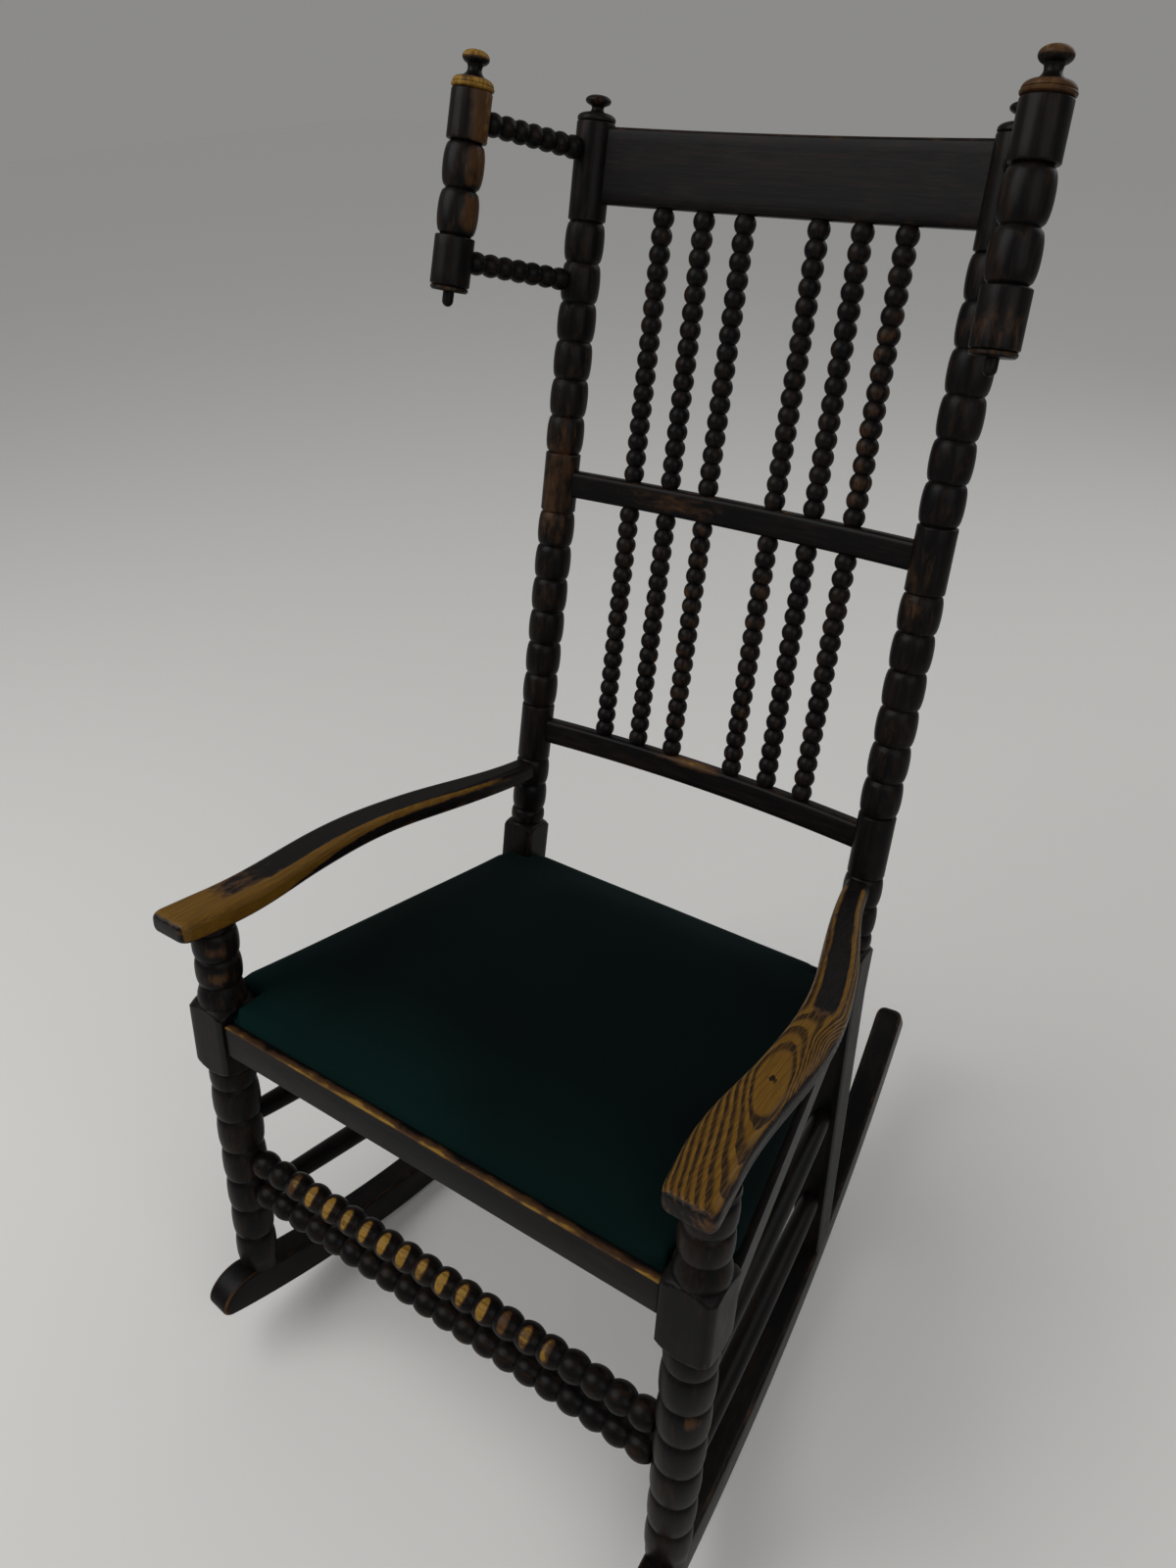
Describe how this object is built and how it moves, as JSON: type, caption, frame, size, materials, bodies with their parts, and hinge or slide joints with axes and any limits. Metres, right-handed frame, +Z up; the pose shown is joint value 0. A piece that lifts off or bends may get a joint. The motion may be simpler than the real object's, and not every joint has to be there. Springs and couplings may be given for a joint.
{
  "type": "bobbin rocking chair",
  "caption": "High-backed wooden rocking chair turned all over in bobbins, with a bowed spindle back, small turned ears, serpentine arms and a velvet drop-in seat.",
  "frame": {"origin": "on the floor, under the middle of the box round the chair as it rests on its rockers", "axes": "+Z up, +X to the sitter's left, -Y the way the sitter faces"},
  "size_m": [0.5484, 0.7248, 1.1543],
  "materials": {
    "ebonised_wood": "near-black stain, soft sheen",
    "worn_wood": "stain worn through to golden grain",
    "green_velvet": "dark green velvet over stuffing",
    "jute_webbing": "woven jute strips",
    "black_cloth": "thin black bottom cloth",
    "pine_board": "plain sawn softwood"
  },
  "bodies": {
    "frame": {"top_rail": "ebonised_wood", "middle_rail": "ebonised_wood", "lower_rail": "ebonised_wood", "rocker_left": "ebonised_wood", "rocker_right": "ebonised_wood", "front_leg_left": "ebonised_wood", "front_leg_right": "ebonised_wood", "back_post_left": "ebonised_wood", "back_post_right": "ebonised_wood", "ear_post_left": "ebonised_wood", "ear_post_right": "ebonised_wood", "ear_drop_left": "ebonised_wood", "ear_drop_right": "ebonised_wood", "upper_spindle_1": "ebonised_wood", "upper_spindle_2": "ebonised_wood", "upper_spindle_3": "ebonised_wood", "upper_spindle_4": "ebonised_wood", "upper_spindle_5": "ebonised_wood", "upper_spindle_6": "ebonised_wood", "lower_spindle_1": "ebonised_wood", "lower_spindle_2": "ebonised_wood", "lower_spindle_3": "ebonised_wood", "lower_spindle_4": "ebonised_wood", "lower_spindle_5": "ebonised_wood", "lower_spindle_6": "ebonised_wood", "ear_spindle_upper_left": "ebonised_wood", "ear_spindle_upper_right": "ebonised_wood", "ear_spindle_lower_left": "ebonised_wood", "ear_spindle_lower_right": "ebonised_wood", "front_seat_rail": "ebonised_wood", "rear_seat_rail": "ebonised_wood", "side_seat_rail_left": "ebonised_wood", "side_seat_rail_right": "ebonised_wood", "front_stretcher_upper": "ebonised_wood", "front_stretcher_lower": "ebonised_wood", "back_stretcher": "ebonised_wood", "back_finial_left": "ebonised_wood", "back_finial_right": "ebonised_wood", "side_stretcher_upper_left": "ebonised_wood", "side_stretcher_upper_right": "ebonised_wood", "side_stretcher_lower_left": "ebonised_wood", "side_stretcher_lower_right": "ebonised_wood", "arm_left": "worn_wood", "arm_right": "worn_wood", "ear_finial_left": "worn_wood", "ear_finial_right": "worn_wood"},
    "seat": {"seat_pad": "green_velvet", "seat_frame_front": "pine_board", "seat_frame_back": "pine_board", "seat_frame_left": "pine_board", "seat_frame_right": "pine_board", "seat_webbing": "jute_webbing", "seat_bottom_cloth": "black_cloth"}
  },
  "joints": [
    {"name": "seat_lift", "type": "slide", "parent": "frame", "child": "seat", "axis": [0, 0.1184, 0.993], "range_m": [0, 0.05]}
  ]
}
